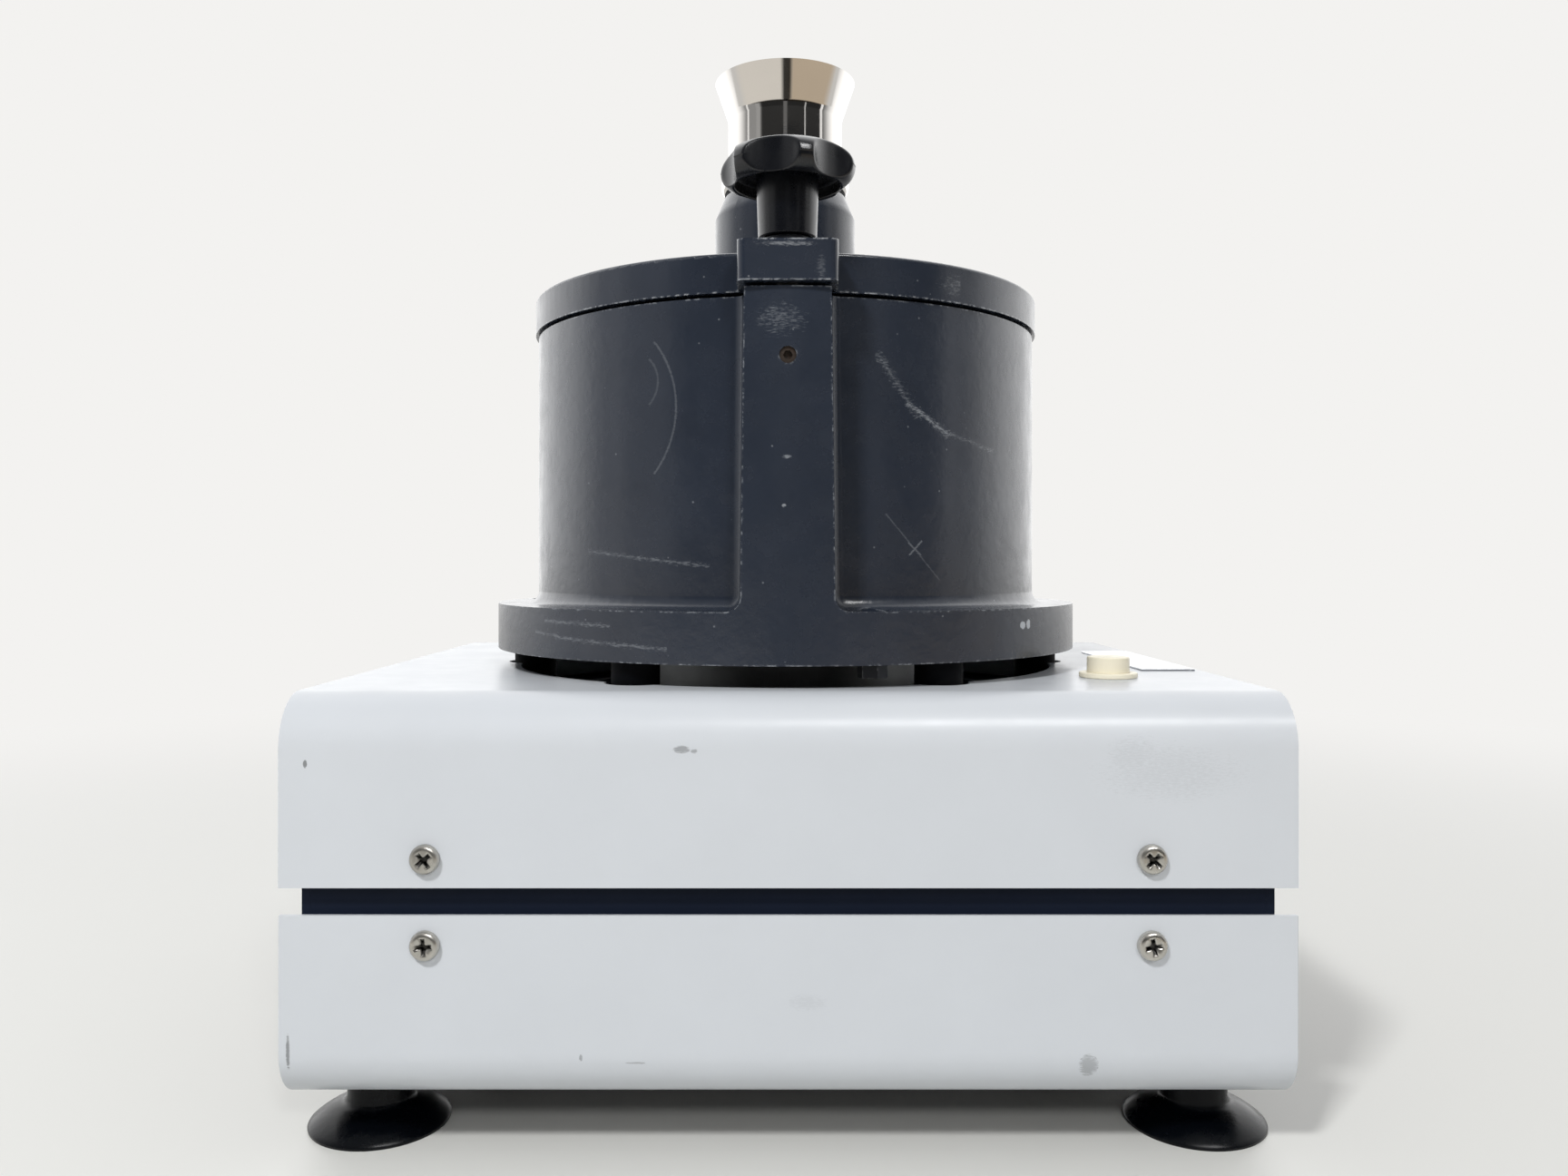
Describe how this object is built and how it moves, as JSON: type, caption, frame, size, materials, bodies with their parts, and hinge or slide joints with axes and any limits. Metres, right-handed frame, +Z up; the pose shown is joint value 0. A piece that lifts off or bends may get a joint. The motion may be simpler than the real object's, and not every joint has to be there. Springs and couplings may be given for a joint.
{
  "type": "analytical lab mill",
  "caption": "Bench-top rotor mill: grey sheet case on suction feet, cast chamber hung on rubber buffers, hinged lid with star-knob clamp and feed funnel.",
  "frame": {"origin": "on the drum's and rotor's upright axis, at the height of the bench under the suction feet", "axes": "+Z up along the rotor shaft; -Y towards the clamp rib, +Y towards the lid hinge; +X towards the control panel, -X towards the mains inlet"},
  "size_m": [0.3526, 0.29, 0.4155],
  "materials": {
    "upper_shell": "light grey enamel on bent steel sheet",
    "lower_shell": "light grey enamel on bent steel sheet",
    "chassis_frame": "dark blue-grey paint",
    "front_panel": "dark blue-grey paint on aluminium plate",
    "rear_panel": "dark blue-grey paint on aluminium plate",
    "panel_screws": "stainless, cross recess",
    "upper_shell_screws": "stainless, cross recess",
    "lower_shell_screws": "stainless, cross recess",
    "suction_feet": "black moulded rubber",
    "foot_studs": "zinc-plated",
    "mounting_ring": "black paint",
    "rubber_buffers": "black moulded rubber",
    "buffer_studs": "zinc-plated",
    "chamber_casting": "dark blue-grey semi-gloss paint on a sand casting",
    "flange_screws": "blackened steel",
    "flange_nuts": "blackened steel",
    "clamp_bush": "turned steel",
    "bush_lock_screw": "steel with surface rust",
    "lid_gasket": "black rubber",
    "lid": "dark blue-grey semi-gloss paint on a sand casting",
    "lid_liner": "pressed stainless steel",
    "hinge_pin": "ground steel",
    "hinge_rings": "spring steel",
    "clamp_washer": "blackened steel",
    "clamp_screw": "turned steel",
    "clamp_knob": "black moulded thermoset",
    "funnel": "polished stainless steel",
    "funnel_seal": "black rubber",
    "cassette_pan": "pressed stainless steel",
    "cassette_cover": "pressed stainless steel",
    "ring_sieve": "perforated stainless sheet",
    "grinding_rotor": "milled stainless steel",
    "labyrinth_disc": "turned aluminium",
    "motor_shaft": "ground steel",
    "armature": "laminated steel with windings",
    "commutator": "turned copper",
    "cooling_fan": "black moulded plastic",
    "motor_housing": "cast aluminium",
    "motor_bolts": "zinc-plated",
    "motor_bracket": "cast aluminium",
    "lower_bearing": "bearing steel",
    "upper_bearing": "bearing steel",
    "field_stator": "laminated steel with windings",
    "brush_holders": "brown phenolic",
    "reset_bezel": "cream nylon",
    "reset_button": "cream nylon",
    "rating_plate": "bare anodised aluminium",
    "button_collars": "black plastic",
    "start_button": "green plastic",
    "stop_button": "red plastic",
    "pilot_lamp": "amber plastic",
    "speed_switch": "black phenolic",
    "speed_knob": "black plastic",
    "mains_inlet": "black plastic",
    "switch_frame": "black plastic",
    "main_switch_rocker": "black plastic",
    "fuse_holders": "black plastic",
    "board_spacers": "nylon",
    "control_board": "glass-fibre board with wound parts"
  },
  "bodies": {
    "housing": {"upper_shell": "upper_shell", "lower_shell": "lower_shell", "chassis_frame": "chassis_frame", "front_panel": "front_panel", "rear_panel": "rear_panel", "panel_screws": "panel_screws", "upper_shell_screws": "upper_shell_screws", "lower_shell_screws": "lower_shell_screws", "suction_feet": "suction_feet", "foot_studs": "foot_studs", "mounting_ring": "mounting_ring", "rubber_buffers": "rubber_buffers", "buffer_studs": "buffer_studs", "chamber_casting": "chamber_casting", "flange_screws": "flange_screws", "flange_nuts": "flange_nuts", "clamp_bush": "clamp_bush", "bush_lock_screw": "bush_lock_screw", "lid_gasket": "lid_gasket", "hinge_pin": "hinge_pin", "hinge_rings": "hinge_rings", "cassette_pan": "cassette_pan", "cassette_cover": "cassette_cover", "ring_sieve": "ring_sieve", "motor_housing": "motor_housing", "motor_bolts": "motor_bolts", "motor_bracket": "motor_bracket", "lower_bearing": "lower_bearing", "upper_bearing": "upper_bearing", "field_stator": "field_stator", "brush_holders": "brush_holders", "reset_bezel": "reset_bezel", "rating_plate": "rating_plate", "button_collars": "button_collars", "pilot_lamp": "pilot_lamp", "speed_switch": "speed_switch", "mains_inlet": "mains_inlet", "switch_frame": "switch_frame", "fuse_holders": "fuse_holders", "board_spacers": "board_spacers", "control_board": "control_board"},
    "lid": {"lid": "lid", "lid_liner": "lid_liner", "funnel_seal": "funnel_seal"},
    "clamp_carriage": {"clamp_washer": "clamp_washer"},
    "clamp_knob": {"clamp_knob": "clamp_knob", "clamp_screw": "clamp_screw"},
    "funnel": {"funnel": "funnel"},
    "rotor": {"grinding_rotor": "grinding_rotor", "labyrinth_disc": "labyrinth_disc", "motor_shaft": "motor_shaft", "armature": "armature", "commutator": "commutator", "cooling_fan": "cooling_fan"},
    "reset_button": {"reset_button": "reset_button"},
    "start_button": {"start_button": "start_button"},
    "stop_button": {"stop_button": "stop_button"},
    "speed_knob": {"speed_knob": "speed_knob"},
    "main_switch_rocker": {"main_switch_rocker": "main_switch_rocker"}
  },
  "joints": [
    {"name": "lid_hinge", "type": "hinge", "parent": "housing", "child": "lid", "pos_m": [0, 0.124, 0.306], "axis": [-1, 0, 0], "range_deg": [0, 100]},
    {"name": "clamp_lift", "type": "slide", "parent": "lid", "child": "clamp_carriage", "axis": [0, 0, 1], "range_m": [0, 0.0115]},
    {"name": "clamp_turn", "type": "hinge", "parent": "clamp_carriage", "child": "clamp_knob", "pos_m": [0, -0.113, 0.335], "axis": [0, 0, 1], "range_deg": [0, 2762]},
    {"name": "funnel_lift", "type": "slide", "parent": "lid", "child": "funnel", "axis": [0, 0, 1], "range_m": [0, 0.06]},
    {"name": "rotor_spin", "type": "hinge", "parent": "housing", "child": "rotor", "pos_m": [0, 0, 0.2], "axis": [0, 0, 1], "continuous": true},
    {"name": "reset_press", "type": "slide", "parent": "housing", "child": "reset_button", "axis": [0, 0, -1], "range_m": [0, 0.003], "stiffness_N_per_m": 500, "springref_m": -0.002},
    {"name": "start_press", "type": "slide", "parent": "housing", "child": "start_button", "axis": [-1, 0, 0], "range_m": [0, 0.003], "stiffness_N_per_m": 500, "springref_m": -0.002},
    {"name": "stop_press", "type": "slide", "parent": "housing", "child": "stop_button", "axis": [-1, 0, 0], "range_m": [0, 0.003], "stiffness_N_per_m": 500, "springref_m": -0.002},
    {"name": "speed_turn", "type": "hinge", "parent": "housing", "child": "speed_knob", "pos_m": [0.17, 0.072, 0.131], "axis": [1, 0, 0], "range_deg": [0, 120]},
    {"name": "main_switch_rock", "type": "hinge", "parent": "housing", "child": "main_switch_rocker", "pos_m": [-0.1643, -0.02, 0.047], "axis": [0, -1, 0], "range_deg": [0, 16]}
  ],
  "couplings": [
    {"joint": "clamp_turn", "follows": "clamp_lift", "rad_per_m": 4188.8}
  ]
}
